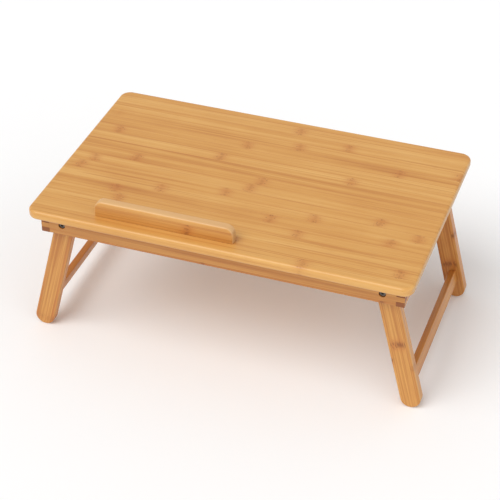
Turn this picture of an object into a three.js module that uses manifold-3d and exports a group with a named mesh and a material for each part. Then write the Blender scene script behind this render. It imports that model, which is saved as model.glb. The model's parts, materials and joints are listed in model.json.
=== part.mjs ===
// A folding tray table: a bamboo panel on an apron frame of four box-jointed rails, with two leg frames that fold
// inwards into the apron on bolts through the front and rear rails.
// Millimetres, +Z up. X runs along the table, Y from the user's side (front, -Y) to the back.
// The origin is on the floor, under the middle of the panel.

import * as THREE from "three";
import { mergeVertices } from "three/addons/utils/BufferGeometryUtils.js";
import Module from "manifold-3d";

// ---- driving dimensions ----------------------------------------------------------------------------------------

const PANEL = { width: 550, depth: 350, thickness: 14, cornerRadius: 16, edgeRadius: 4.5 };
const TABLE_HEIGHT = 225; // floor to the panel's upper face

const RAIL = { thickness: 12, height: 31, frontInset: 20, sideInset: 13, fingers: 4, glueGap: 0.05 };

const LEG = { width: 29, thickness: 15, splay: THREE.MathUtils.degToRad(14.3), edgeRadius: 1.5 };
const PIVOT_DROP = 16; // panel underside to pivot axis
const STOP_GAP = 0.3; // leg's outer edge to the side rail's lower inner edge
const LEG_SIDE_GAP = 1.6; // rail's inner face to leg's outer face, where the washer sits

const STRETCHER = { depth: 10, height: 20, fromPivot: 162, outward: 1.4, endGap: 0.3 };

const LEDGE = { length: 202, depth: 14, height: 24, left: -179.5, frontInset: 19.5, cornerRadius: 13, edgeRadius: 3 };

const BOLT = {
  shankRadius: 3,
  headRadius: 4.4,
  headHeight: 3,
  chamfer: 0.5,
  socketRadius: 2.1,
  socketDepth: 1.8,
  length: 20.5,
};
const COUNTERBORE = { radius: 4.9, depth: 4.8 };
const BOLT_CLEARANCE = 0.09;
const WASHER = { radius: 6.5, thickness: 1.2 };
const INSERT = { radius: 4.5, length: 12.5 };
const DOWEL = { radius: 3, length: 22, chamfer: 0.6, spacing: 10 };
const FIT_GAP = 0.15; // around a piece pressed or glued into a hole

const SCREW = { shankRadius: 2, headRadius: 3.6, headHeight: 2.4, headRounding: 1, tipLength: 4 };
const PANEL_SCREW = { length: 26, recess: 14, x: 150 };
const LEDGE_SCREW = { length: 28, recess: 2.6, fromEnd: 45 };
const SCREW_GAP = 0.12;
const SEAT_GAP = 0.1; // between a bolt's or screw's head and its seat
const OVERSHOOT = 1; // how far a cutting solid passes the surface it opens

const ROUND = 18; // sides of a bolt, washer, insert or their holes
const SMALL_ROUND = 12; // sides of a dowel, wood screw or their holes

// ---- values worked out from them -------------------------------------------------------------------------------

const panelBottom = TABLE_HEIGHT - PANEL.thickness;
const railMid = panelBottom - RAIL.height / 2;
const sideOuterX = PANEL.width / 2 - RAIL.sideInset;
const sideInnerX = sideOuterX - RAIL.thickness;
const railOuterY = PANEL.depth / 2 - RAIL.frontInset;
const railInnerY = railOuterY - RAIL.thickness;

const legRadius = LEG.width / 2;
const pivotZ = panelBottom - PIVOT_DROP;
const stopDrop = RAIL.height - PIVOT_DROP; // pivot axis to the rail's lower edge
const pivotX =
  sideInnerX - (legRadius + STOP_GAP) / Math.cos(LEG.splay) - stopDrop * Math.tan(LEG.splay);
const legLength = (pivotZ - legRadius) / Math.cos(LEG.splay); // pivot to the centre of the round foot
const legOuterY = railInnerY - LEG_SIDE_GAP;
const legInnerY = legOuterY - LEG.thickness;

// ---- materials -------------------------------------------------------------------------------------------------

function finish(color, roughness, metalness) {
  return new THREE.MeshStandardMaterial({ color, roughness, metalness });
}

const panelBamboo = finish(0xdcab67, 0.4, 0);
const railBamboo = finish(0xc98f4c, 0.45, 0);
const legBamboo = finish(0xcf9754, 0.45, 0);
const dowelWood = finish(0xc9a877, 0.7, 0);
const steel = finish(0x6f7073, 0.35, 1);
const brass = finish(0xb5924c, 0.35, 1);

// ---- solids ----------------------------------------------------------------------------------------------------

const wasm = await Module();
wasm.setup();

function toSolid(geometry) {
  const bare = geometry.clone();
  bare.deleteAttribute("normal");
  bare.deleteAttribute("uv");
  const merged = mergeVertices(bare, 1e-4);
  const vertProperties = new Float32Array(merged.attributes.position.array);
  const triVerts = new Uint32Array(merged.index.array);
  return new wasm.Manifold(new wasm.Mesh({ numProp: 3, vertProperties, triVerts }));
}

function toGeometry(solid) {
  const made = solid.getMesh();
  const geometry = new THREE.BufferGeometry();
  geometry.setAttribute("position", new THREE.BufferAttribute(made.vertProperties, 3));
  geometry.setIndex(new THREE.BufferAttribute(made.triVerts, 1));
  const faceted = geometry.toNonIndexed();
  faceted.computeVertexNormals();
  return faceted;
}

function cut(geometry, tools) {
  const solid = tools.reduce((left, tool) => left.subtract(toSolid(tool)), toSolid(geometry));
  return toGeometry(solid);
}

function box(size, centre) {
  return new THREE.BoxGeometry(...size).translate(...centre);
}

// A round bar from one point to another along Y or Z.
function rodAlongY(radius, yFrom, yTo, x, z, sides = ROUND) {
  const rod = new THREE.CylinderGeometry(radius, radius, Math.abs(yTo - yFrom), sides);
  return rod.translate(x, (yFrom + yTo) / 2, z);
}

function rodAlongZ(radius, zFrom, zTo, x, y) {
  const rod = new THREE.CylinderGeometry(radius, radius, Math.abs(zTo - zFrom), SMALL_ROUND);
  return rod.rotateX(Math.PI / 2).translate(x, y, (zFrom + zTo) / 2);
}

// A profile of [radius, distance along the axis] points turned about the Y axis.
function turned(profile, sides = ROUND) {
  return new THREE.LatheGeometry(profile.map(([radius, along]) => new THREE.Vector2(radius, along)), sides);
}

// A shape drawn in X and Z, extruded along Y and centred on y = 0.
function upright(shape, depth, bevel, bevelSegments, curveSegments) {
  const geometry = new THREE.ExtrudeGeometry(shape, {
    depth: depth - 2 * bevel,
    bevelEnabled: bevel > 0,
    bevelThickness: bevel,
    bevelSize: bevel,
    bevelOffset: -bevel,
    bevelSegments,
    curveSegments,
  });
  geometry.translate(0, 0, bevel - depth / 2);
  return geometry.rotateX(Math.PI / 2);
}

function polygon(points) {
  return new THREE.Shape(points.map(([x, y]) => new THREE.Vector2(x, y)));
}

function roundedRectangle(width, height, radius) {
  const shape = new THREE.Shape();
  const x = width / 2 - radius;
  const y = height / 2 - radius;
  shape.absarc(x, -y, radius, -Math.PI / 2, 0);
  shape.absarc(x, y, radius, 0, Math.PI / 2);
  shape.absarc(-x, y, radius, Math.PI / 2, Math.PI);
  shape.absarc(-x, -y, radius, Math.PI, 1.5 * Math.PI);
  shape.closePath();
  return shape;
}

const table = new THREE.Group();

function addMesh(parent, name, geometry, material) {
  const mesh = new THREE.Mesh(geometry, material);
  mesh.name = name;
  parent.add(mesh);
  return mesh;
}

// ---- panel -----------------------------------------------------------------------------------------------------

const ledgeX = LEDGE.left + LEDGE.length / 2;
const ledgeY = -(PANEL.depth / 2 - LEDGE.frontInset - LEDGE.depth / 2);
const ledgeScrewXs = [-1, 1].map((end) => ledgeX + end * (LEDGE.length / 2 - LEDGE_SCREW.fromEnd));
const railMidY = railOuterY - RAIL.thickness / 2;
const sideMidX = sideOuterX - RAIL.thickness / 2;

const panelScrews = {
  panel_screw_front_left: [-PANEL_SCREW.x, -railMidY],
  panel_screw_front_right: [PANEL_SCREW.x, -railMidY],
  panel_screw_rear_left: [-PANEL_SCREW.x, railMidY],
  panel_screw_rear_right: [PANEL_SCREW.x, railMidY],
  panel_screw_left: [-sideMidX, 0],
  panel_screw_right: [sideMidX, 0],
};
const panelScrewSeat = panelBottom - RAIL.height + PANEL_SCREW.recess;
const panelScrewTip = panelScrewSeat + PANEL_SCREW.length;

function shankHole(zFrom, zTo, x, y) {
  return rodAlongZ(SCREW.shankRadius + SCREW_GAP, zFrom - OVERSHOOT, zTo + OVERSHOOT, x, y);
}

// A recess for a screw's head, open below zFrom.
function headHole(zFrom, zSeat, x, y) {
  return rodAlongZ(SCREW.headRadius + 2 * SCREW_GAP, zFrom - OVERSHOOT, zSeat, x, y);
}

function panelGeometry() {
  const { width, depth, thickness, cornerRadius, edgeRadius } = PANEL;
  const board = new THREE.ExtrudeGeometry(roundedRectangle(width, depth, cornerRadius), {
    depth: thickness - 2 * edgeRadius,
    bevelThickness: edgeRadius,
    bevelSize: edgeRadius,
    bevelOffset: -edgeRadius,
    bevelSegments: 4,
    curveSegments: 4,
  }).translate(0, 0, panelBottom + edgeRadius);
  const panelHoles = Object.values(panelScrews).map(([x, y]) => shankHole(panelBottom, panelScrewTip, x, y));
  const ledgeHoles = ledgeScrewXs.flatMap((x) => [
    headHole(panelBottom, panelBottom + LEDGE_SCREW.recess, x, ledgeY),
    shankHole(panelBottom, TABLE_HEIGHT, x, ledgeY),
  ]);
  return cut(board, [...panelHoles, ...ledgeHoles]);
}

addMesh(table, "top_panel", panelGeometry(), panelBamboo);

// ---- ledge -----------------------------------------------------------------------------------------------------

const ledgeScrewSeat = panelBottom + LEDGE_SCREW.recess - SEAT_GAP;
const ledgeScrewTip = ledgeScrewSeat + LEDGE_SCREW.length;

function ledgeGeometry() {
  const { length, depth, height, cornerRadius, edgeRadius } = LEDGE;
  const x = length / 2 - cornerRadius;
  const shape = new THREE.Shape();
  shape.moveTo(-length / 2, -cornerRadius);
  shape.lineTo(length / 2, -cornerRadius);
  shape.absarc(x, height - cornerRadius, cornerRadius, 0, Math.PI / 2);
  shape.absarc(-x, height - cornerRadius, cornerRadius, Math.PI / 2, Math.PI);
  shape.closePath();
  const bar = upright(shape, depth, edgeRadius, 2, 4).translate(ledgeX, ledgeY, TABLE_HEIGHT);
  const belowPanelTop = box(
    [length + 2 * OVERSHOOT, depth + 2 * OVERSHOOT, 2 * cornerRadius],
    [ledgeX, ledgeY, TABLE_HEIGHT - cornerRadius],
  );
  const holes = ledgeScrewXs.map((screwX) => shankHole(TABLE_HEIGHT, ledgeScrewTip, screwX, ledgeY));
  return cut(bar, [belowPanelTop, ...holes]);
}

addMesh(table, "device_ledge", ledgeGeometry(), panelBamboo);

// ---- rails -----------------------------------------------------------------------------------------------------

// A rail with box-joint fingers at both ends. Counted from the bottom, every other finger from first on is long and
// reaches the corner; the ones between stop at the other rail's inner face.
function fingeredRail(inner, outer, first) {
  const step = RAIL.height / RAIL.fingers;
  const end = [];
  for (let i = 0; i < RAIL.fingers; i += 1) {
    const isLong = i % 2 === first;
    const inset = isLong ? RAIL.glueGap : -RAIL.glueGap;
    const reach = isLong ? outer : inner;
    const low = i === 0 ? 0 : i * step + inset;
    const high = i === RAIL.fingers - 1 ? RAIL.height : (i + 1) * step - inset;
    end.push([reach, low - RAIL.height / 2], [reach, high - RAIL.height / 2]);
  }
  const otherEnd = end.map(([x, z]) => [-x, z]).reverse();
  return upright(polygon([...end, ...otherEnd]), RAIL.thickness, 0, 0, 1);
}

// A through hole for the shank, and a wider one up to the head's seat.
function railScrewHoles(x, y) {
  const underside = panelBottom - RAIL.height;
  return [shankHole(underside, panelBottom, x, y), headHole(underside, panelScrewSeat, x, y)];
}

// Front and rear rails: their long fingers are the second and the fourth.
function crossRailGeometry(side) {
  const bar = fingeredRail(sideInnerX - RAIL.glueGap, sideOuterX, 1).translate(0, side * railMidY, railMid);
  const outer = side * railOuterY;
  const opening = outer + side * OVERSHOOT;
  const pivotHoles = [-pivotX, pivotX].flatMap((x) => [
    rodAlongY(BOLT.shankRadius + BOLT_CLEARANCE, opening, side * (railInnerY - OVERSHOOT), x, pivotZ),
    rodAlongY(COUNTERBORE.radius, opening, outer - side * COUNTERBORE.depth, x, pivotZ),
  ]);
  const screwXs = [-PANEL_SCREW.x, PANEL_SCREW.x];
  return cut(bar, [...pivotHoles, ...screwXs.flatMap((x) => railScrewHoles(x, side * railMidY))]);
}

// Side rails: their long fingers are the first and the third.
function sideRailGeometry(side) {
  const bar = fingeredRail(railInnerY - RAIL.glueGap, railOuterY, 0).rotateZ(Math.PI / 2);
  bar.translate(side * sideMidX, 0, railMid);
  return cut(bar, railScrewHoles(side * sideMidX, 0));
}

addMesh(table, "front_rail", crossRailGeometry(-1), railBamboo);
addMesh(table, "rear_rail", crossRailGeometry(1), railBamboo);
addMesh(table, "left_rail", sideRailGeometry(-1), railBamboo);
addMesh(table, "right_rail", sideRailGeometry(1), railBamboo);

// ---- wood screws -----------------------------------------------------------------------------------------------

// A pan-headed wood screw along +Y, with the flat underside of its head at y = 0.
function woodScrew(length) {
  const { shankRadius, headRadius, headHeight, headRounding, tipLength } = SCREW;
  return turned([
    [0, -headHeight], [headRadius - headRounding, -headHeight], [headRadius, headRounding - headHeight],
    [headRadius, 0], [shankRadius, 0], [shankRadius, length - tipLength], [0, length],
  ], SMALL_ROUND);
}

function addScrew(name, length, x, y, zSeat) {
  const screw = addMesh(table, name, woodScrew(length), steel);
  screw.position.set(x, y, zSeat);
  screw.rotation.x = Math.PI / 2;
}

for (const [name, [x, y]] of Object.entries(panelScrews)) {
  addScrew(name, PANEL_SCREW.length, x, y, panelScrewSeat - SEAT_GAP);
}
addScrew("ledge_screw_left", LEDGE_SCREW.length, ledgeScrewXs[0], ledgeY, ledgeScrewSeat);
addScrew("ledge_screw_right", LEDGE_SCREW.length, ledgeScrewXs[1], ledgeY, ledgeScrewSeat);

// ---- leg frames ------------------------------------------------------------------------------------------------

// In a leg frame's own axes the pivot axis is Y through the origin, and the legs run straight down.

const dowelZs = [-1, 1].map((end) => -STRETCHER.fromPivot + (end * DOWEL.spacing) / 2);
const dowelMidY = legInnerY - STRETCHER.endGap / 2;

function legGeometry(side, outward) {
  const shape = new THREE.Shape();
  shape.absarc(0, 0, legRadius, 0, Math.PI);
  shape.absarc(0, -legLength, legRadius, Math.PI, 2 * Math.PI);
  shape.closePath();
  const bar = upright(shape, LEG.thickness, LEG.edgeRadius, 1, 8);
  bar.translate(0, side * (legOuterY - LEG.thickness / 2), 0);
  const insertHole = rodAlongY(
    INSERT.radius + FIT_GAP,
    side * (legOuterY + OVERSHOOT),
    side * (legOuterY - INSERT.length - FIT_GAP),
    0,
    0,
  );
  const dowelEnd = side * (dowelMidY + DOWEL.length / 2 + FIT_GAP);
  const opening = side * (legInnerY - OVERSHOOT);
  const dowelHoles = dowelZs.map((z) =>
    rodAlongY(DOWEL.radius + FIT_GAP, opening, dowelEnd, outward * STRETCHER.outward, z, SMALL_ROUND),
  );
  return cut(bar, [insertHole, ...dowelHoles]);
}

function stretcherGeometry(outward) {
  const length = 2 * (legInnerY - STRETCHER.endGap);
  const x = outward * STRETCHER.outward;
  const bar = box([STRETCHER.depth, length, STRETCHER.height], [x, 0, -STRETCHER.fromPivot]);
  const holes = [-1, 1].flatMap((side) =>
    dowelZs.map((z) => {
      const end = side * (dowelMidY - DOWEL.length / 2 - FIT_GAP);
      return rodAlongY(DOWEL.radius + FIT_GAP, side * (legInnerY + OVERSHOOT), end, x, z, SMALL_ROUND);
    }),
  );
  return cut(bar, holes);
}

// Head outwards at +Y, with a hexagonal socket; the underside of the head is at y = 0.
function boltGeometry() {
  const { shankRadius, headRadius, headHeight, chamfer, socketRadius, socketDepth, length } = BOLT;
  const blank = turned([
    [0, -length], [shankRadius - chamfer, -length], [shankRadius, chamfer - length], [shankRadius, 0],
    [headRadius, 0], [headRadius, headHeight - chamfer], [headRadius - chamfer, headHeight], [0, headHeight],
  ]);
  const socket = new THREE.CylinderGeometry(socketRadius, socketRadius, 2 * socketDepth, 6);
  return cut(blank, [socket.translate(0, headHeight, 0)]);
}

function ring(innerRadius, outerRadius, length) {
  const half = length / 2;
  return turned([
    [innerRadius, -half], [outerRadius, -half], [outerRadius, half], [innerRadius, half], [innerRadius, -half],
  ]);
}

function dowelGeometry() {
  const { radius, length, chamfer } = DOWEL;
  const half = length / 2;
  return turned([
    [0, -half], [radius - chamfer, -half], [radius, chamfer - half],
    [radius, half - chamfer], [radius - chamfer, half], [0, half],
  ], SMALL_ROUND);
}

function addLegFrame(label, outward) {
  const frame = new THREE.Group();
  frame.position.set(outward * pivotX, 0, pivotZ);
  frame.rotation.y = -outward * LEG.splay;
  table.add(frame);

  for (const [place, side] of [["front", -1], ["rear", 1]]) {
    const corner = `${label}_${place}`;
    addMesh(frame, `${corner}_leg`, legGeometry(side, outward), legBamboo);

    const bolt = addMesh(frame, `${corner}_pivot_bolt`, boltGeometry(), steel);
    bolt.position.y = side * (railOuterY - COUNTERBORE.depth + SEAT_GAP);
    bolt.rotation.z = side > 0 ? 0 : Math.PI;

    const bore = BOLT.shankRadius + BOLT_CLEARANCE;
    const washer = addMesh(frame, `${corner}_washer`, ring(bore, WASHER.radius, WASHER.thickness), steel);
    washer.position.y = side * (legOuterY + LEG_SIDE_GAP / 2);

    const insert = addMesh(frame, `${corner}_insert`, ring(bore, INSERT.radius, INSERT.length), brass);
    insert.position.y = side * (legOuterY - INSERT.length / 2);

    ["lower", "upper"].forEach((level, i) => {
      const dowel = addMesh(frame, `${corner}_dowel_${level}`, dowelGeometry(), dowelWood);
      dowel.position.set(outward * STRETCHER.outward, side * dowelMidY, dowelZs[i]);
    });
  }
  addMesh(frame, `${label}_stretcher`, stretcherGeometry(outward), legBamboo);
}

addLegFrame("left", -1);
addLegFrame("right", 1);

export default table;
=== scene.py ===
"""Folding tray table in laminated bamboo: the finished pieces, their finishes and a plain studio.

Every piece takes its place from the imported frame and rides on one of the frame's bodies: the
tabletop, or one of the two leg frames that fold into its apron. Lengths are in metres, and the
table stands on z = 0.
"""

import json
import math

import bpy
from mathutils import Matrix, Quaternion, Vector


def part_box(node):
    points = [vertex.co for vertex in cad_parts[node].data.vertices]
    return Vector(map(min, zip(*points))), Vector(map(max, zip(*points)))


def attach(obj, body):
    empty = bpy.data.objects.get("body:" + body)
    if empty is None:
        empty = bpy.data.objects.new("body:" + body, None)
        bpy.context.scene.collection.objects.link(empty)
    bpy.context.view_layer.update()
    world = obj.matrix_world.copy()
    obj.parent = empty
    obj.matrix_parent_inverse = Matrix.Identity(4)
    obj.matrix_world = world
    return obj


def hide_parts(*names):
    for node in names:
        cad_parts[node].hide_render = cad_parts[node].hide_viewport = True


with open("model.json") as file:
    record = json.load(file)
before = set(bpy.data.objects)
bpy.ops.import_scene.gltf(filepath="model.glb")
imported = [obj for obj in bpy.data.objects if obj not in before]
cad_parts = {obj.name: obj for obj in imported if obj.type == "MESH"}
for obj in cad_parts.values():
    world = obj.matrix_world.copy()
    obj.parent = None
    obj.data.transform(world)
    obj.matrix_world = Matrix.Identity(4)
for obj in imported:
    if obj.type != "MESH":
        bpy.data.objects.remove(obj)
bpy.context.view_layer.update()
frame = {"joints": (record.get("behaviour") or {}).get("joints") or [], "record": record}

bl_info = {
    "name": "Folding Tray Table",
    "version": (1, 0, 0),
    "blender": (4, 5, 0),
    "location": "3D View > Sidebar > Tray Table",
    "description": "Makes the bamboo pieces, the hardware and the studio of a folding tray table",
    "category": "Object",
}

MM = 0.001
SIDES = (("left", -1), ("right", 1))
PLACES = (("front", -1), ("rear", 1))

RECORD = frame["record"]
BODY_OF = {node: body for body, nodes in RECORD["behaviour"]["bodies"].items() for node in nodes}
FOLD_OF = {joint["child"]: joint for joint in frame["joints"]}

MERGE_DISTANCE = 0.02 * MM  # points closer than this after a rounding become one
EASED_EDGE = 0.25 * MM  # rounding of the rails' edges that are otherwise sharp
OVERSHOOT = 1 * MM  # how far a cutter starts outside the piece it cuts


# ---- settings ------------------------------------------------------------------------------------


def length(name, description, millimetres):
    return bpy.props.FloatProperty(
        name=name, description=description, default=millimetres * MM,
        min=0.0, precision=5, unit="LENGTH",
    )


def colour(name, description, red, green, blue):
    """A colour property from screen values of 0 to 255, kept as linear light."""
    linear = [((value / 255 + 0.055) / 1.055) ** 2.4 for value in (red, green, blue)]
    return bpy.props.FloatVectorProperty(
        name=name, description=description, default=linear,
        size=3, min=0.0, max=1.0, subtype="COLOR",
    )


def factor(name, description, value):
    return bpy.props.FloatProperty(
        name=name, description=description, default=value, min=0.0, max=1.0, subtype="FACTOR"
    )


def brightness(name, description, value):
    return bpy.props.FloatProperty(name=name, description=description, default=value, min=0.0)


def angle(name, description, degrees):
    return bpy.props.FloatProperty(
        name=name, description=description, default=math.radians(degrees), subtype="ANGLE"
    )


class TraySizes(bpy.types.PropertyGroup):
    """Roundings and sections that the finished pieces have beyond the frame's boxes."""

    panel_corner: length("Panel corner", "Radius of the panel's corners, seen from above", 16)
    panel_edge: length("Panel edge", "Radius of the panel's rounded edge", 4.5)
    ledge_corner: length("Ledge corner", "Radius of the ledge's two upper corners", 13)
    ledge_edge: length("Ledge edge", "Radius of the ledge's upper edges", 3.2)
    ledge_foot: length("Ledge foot", "Radius of the ledge's lower edges", 0.8)
    fingers: bpy.props.IntProperty(
        name="Fingers", description="Fingers in a box joint, short and long", default=4, min=2
    )
    rail_edge: length("Rail edge", "Radius of the rails' lower edges", 1.0)
    leg_width: length("Leg width", "Width of a leg, and of its round foot", 29)
    leg_edge: length("Leg edge", "Radius along a leg's edges", 1.8)
    stretcher_depth: length("Stretcher depth", "Section of a stretcher across the leg", 10)
    stretcher_height: length("Stretcher height", "Section of a stretcher along the leg", 20)
    stretcher_drop: length("Stretcher drop", "From the pivot to the stretcher, along the leg", 162)
    stretcher_outward: length("Stretcher outward", "From the leg's middle to the stretcher's", 1.4)
    stretcher_edge: length("Stretcher edge", "Radius along a stretcher's edges", 1.6)
    counterbore: length("Counterbore", "Radius of the recess around a pivot bolt's head", 4.9)
    counterbore_depth: length("Counterbore depth", "Depth of that recess", 4.8)
    glue_gap: length("Glue gap", "Gap between the fingers of a box joint", 0.05)


class HardwareSizes(bpy.types.PropertyGroup):
    """Sections of the bolts, inserts, dowels and screws; their lengths come from the frame."""

    bolt_shank: length("Bolt shank", "Radius of a pivot bolt's shank", 3)
    bolt_root: length("Bolt root", "Radius of a pivot bolt at the root of its thread", 2.65)
    bolt_thread: length("Bolt thread", "Length of a pivot bolt's thread", 13)
    bolt_pitch: length("Bolt pitch", "Pitch of a pivot bolt's thread", 1)
    bolt_head: length("Bolt head", "Radius of a pivot bolt's head", 4.4)
    bolt_head_height: length("Bolt head height", "Height of a pivot bolt's head", 3)
    bolt_gap: length("Bolt gap", "Room around a pivot bolt in the rail", 0.15)
    socket: length("Socket", "Radius of the hexagonal socket, at its corners", 2.1)
    socket_depth: length("Socket depth", "Depth of the hexagonal socket", 1.8)
    bore: length("Bore", "Inner radius of a washer and of an insert", 3.1)
    washer: length("Washer", "Outer radius of a washer", 6.5)
    insert: length("Insert", "Outer radius of a threaded insert", 4.5)
    insert_root: length("Insert root", "Radius of an insert between its ribs", 4.15)
    insert_pitch: length("Insert pitch", "Distance between an insert's ribs", 1.5)
    insert_gap: length("Insert gap", "Room around an insert in the leg, and at its inner end", 0.1)
    dowel: length("Dowel", "Radius of a dowel", 3)
    dowel_chamfer: length("Dowel chamfer", "Length of the chamfer at a dowel's ends", 0.8)
    dowel_gap: length("Dowel gap", "Room around a dowel", 0.12)
    dowel_end_gap: length("Dowel end gap", "Room at a dowel's ends", 0.15)
    flutes: bpy.props.IntProperty(name="Flutes", description="Flutes of a dowel", default=16, min=3)
    flute: factor("Flute", "Radius in a flute, as a part of the dowel's radius", 0.93)
    screw_shank: length("Screw shank", "Radius of a wood screw over its thread", 2)
    screw_core: length("Screw core", "Radius of a wood screw's plain stretches", 1.9)
    screw_root: length("Screw root", "Radius of a wood screw at the root of its thread", 1.5)
    screw_pitch: length("Screw pitch", "Pitch of a wood screw's thread", 1.5)
    screw_head: length("Screw head", "Radius of a wood screw's pan head", 3.6)
    screw_head_height: length("Screw head height", "Height of a wood screw's head", 2.4)
    screw_gap: length("Screw gap", "Room around a wood screw's shank", 0.12)
    recess: length("Recess", "Depth of the cross recess", 1.4)


class BambooFinish(bpy.types.PropertyGroup):
    """Colours and scale of the laminated bamboo."""

    pale: colour("Pale", "Lightest fibres", 226, 174, 98)
    honey: colour("Honey", "Most of the surface", 211, 151, 74)
    toasted: colour("Toasted", "Darkest streaks", 184, 115, 46)
    blush: colour("Blush", "Redder zone around a node", 188, 106, 42)
    knot: colour("Knot", "Dark fibres where the culm had a node", 120, 62, 22)
    core: colour("Core", "Cut edges of a strip, paler than its face", 228, 190, 140)
    pale_end: colour("Pale end", "Sawn ends that are sanded and lacquered", 205, 160, 104)
    pale_end_fibre: colour("Pale end fibres", "Dots in the pale ends", 160, 112, 62)
    dark_end: colour("Dark end", "Sawn ends of the rails' fingers", 146, 82, 32)
    dark_end_fibre: colour("Dark end fibres", "Dots in the dark ends", 78, 40, 14)
    strip: length("Strip width", "Width of one bamboo strip", 21)
    joint: factor("Joint", "Width of the line between strips, as a part of a strip", 0.035)
    knot_spacing: length("Knot spacing", "Distance between two nodes of a culm", 235)
    knot_zone: length("Knot zone", "Reach of the redder zone around a node", 9.5)
    knot_ring: length("Knot ring", "Reach of the ring of dots around a node, along the strip", 6.2)
    knot_bow: length("Knot bow", "How far a node bows along the strip", 5)
    swerve: length("Swerve", "How far the fibres swerve at a node", 4)
    gloss: factor("Lacquer", "Weight of the clear lacquer", 0.4)


class HardwareFinish(bpy.types.PropertyGroup):
    """Colours of the metal pieces and the dowels."""

    steel: colour("Dark steel", "Bolts, washers and screws", 112, 106, 100)
    brass: colour("Brass", "Threaded inserts", 196, 160, 92)
    beech: colour("Beech", "Dowels", 205, 168, 120)


class StudioSettings(bpy.types.PropertyGroup):
    """The camera, the floor and the lights."""

    azimuth: angle("Azimuth", "Direction of the camera, from the front towards the right", 19.083)
    elevation: angle("Elevation", "Height of the camera over the tabletop, as an angle", 35.844)
    roll: angle("Roll", "Turn of the camera about its line of sight", 0.387)
    distance: length("Distance", "From the camera to the point it looks at", 2101.5)
    aim: bpy.props.FloatVectorProperty(
        name="Aim", description="Point on the tabletop that the camera looks at",
        default=(0.04805, -0.15926), size=2, unit="LENGTH",
    )
    focal_length: bpy.props.FloatProperty(
        name="Focal length", description="Focal length of the camera", default=113.69, unit="CAMERA"
    )
    floor: colour("Floor", "Colour of the plain floor", 250, 250, 250)
    floor_width: length("Floor width", "Side of the square floor", 400_000)
    sky: brightness("Sky", "Light from all round", 0.58)
    key: brightness("Key", "Soft light from high at the front left", 1.62)
    fill: brightness("Fill", "Soft light from the right", 0.45)
    key_spread: angle("Key spread", "Angular size of the key light", 45)
    fill_spread: angle("Fill spread", "Angular size of the fill light", 60)


# ---- modelling helpers ---------------------------------------------------------------------------


def clear_selection():
    active = bpy.context.view_layer.objects.active
    if active is not None and active.mode != "OBJECT":
        bpy.ops.object.mode_set(mode="OBJECT")
    bpy.ops.object.select_all(action="DESELECT")


def activate(piece):
    clear_selection()
    piece.select_set(True)
    bpy.context.view_layer.objects.active = piece


def fix_place(piece):
    """Put the piece's place, turn and size into its mesh."""
    activate(piece)
    bpy.ops.object.transform_apply(location=True, rotation=True, scale=True)


def add_block(name, low, high):
    clear_selection()
    bpy.ops.mesh.primitive_cube_add(size=1.0, location=(low + high) / 2)
    block = bpy.context.object
    block.name = name
    block.scale = high - low
    fix_place(block)
    return block


def add_rod(radius, start, end, sides=48):
    """A round or many-sided bar between two points."""
    clear_selection()
    span = end - start
    bpy.ops.mesh.primitive_cylinder_add(
        vertices=sides, radius=radius, depth=span.length, location=(start + end) / 2
    )
    rod = bpy.context.object
    rod.rotation_euler = span.to_track_quat("Z", "Y").to_euler()
    fix_place(rod)
    return rod


def pick(piece, kind, wanted):
    """Enter edit mode with only the wanted faces or edges selected.

    wanted tests a face by its centre and normal, and an edge by its two ends.
    """
    activate(piece)
    bpy.ops.object.mode_set(mode="EDIT")
    bpy.ops.mesh.select_mode(type=kind)
    bpy.ops.mesh.select_all(action="DESELECT")
    bpy.ops.object.mode_set(mode="OBJECT")
    mesh = piece.data
    if kind == "FACE":
        parts = mesh.polygons
        for face in parts:
            face.select = wanted(face.center, face.normal)
    else:
        parts = mesh.edges
        for edge in parts:
            start, end = (mesh.vertices[i].co for i in edge.vertices)
            edge.select = wanted(start, end)
    if not any(part.select for part in parts):
        raise RuntimeError(f"no such {kind.lower()} on {piece.name}")
    bpy.ops.object.mode_set(mode="EDIT")


def round_edges(piece, radius, segments, wanted):
    pick(piece, "EDGE", wanted)
    bpy.ops.mesh.bevel(offset=radius, segments=segments, affect="EDGES")
    bpy.ops.mesh.select_all(action="SELECT")
    bpy.ops.mesh.remove_doubles(threshold=MERGE_DISTANCE)
    bpy.ops.object.mode_set(mode="OBJECT")


def runs_along(axis):
    """A test for edges that run along one axis."""

    def test(start, end):
        return (end - start).normalized()[axis] ** 2 > 0.999

    return test


def both_at(axis, place):
    """A test for edges that lie in the plane where the axis has that value."""

    def test(start, end):
        return abs(start[axis] - place) < 1e-6 and abs(end[axis] - place) < 1e-6

    return test


def pull_faces(piece, shift, wanted):
    pick(piece, "FACE", wanted)
    bpy.ops.mesh.extrude_region_move(TRANSFORM_OT_translate={"value": shift})
    bpy.ops.object.mode_set(mode="OBJECT")


def slice_at(piece, point, normal):
    activate(piece)
    bpy.ops.object.mode_set(mode="EDIT")
    bpy.ops.mesh.select_all(action="SELECT")
    bpy.ops.mesh.bisect(plane_co=point, plane_no=normal)
    bpy.ops.object.mode_set(mode="OBJECT")


def apply_modifier(piece, kind, **settings):
    modifier = piece.modifiers.new("finish", kind)
    for key, value in settings.items():
        setattr(modifier, key, value)
    activate(piece)
    bpy.ops.object.modifier_apply(modifier=modifier.name)


def cut(piece, cutters):
    for cutter in cutters:
        apply_modifier(piece, "BOOLEAN", object=cutter, operation="DIFFERENCE", solver="EXACT")
        bpy.data.objects.remove(cutter, do_unlink=True)


def soften(piece, width, segments=2):
    """A fine rounding on every edge that is still sharp."""
    apply_modifier(
        piece, "BEVEL", width=width, segments=segments, limit_method="ANGLE",
        angle_limit=math.radians(40),
    )


def shade(piece):
    activate(piece)
    bpy.ops.object.shade_smooth_by_angle(angle=math.radians(35))
    apply_modifier(piece, "WEIGHTED_NORMAL", keep_sharp=True)


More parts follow.
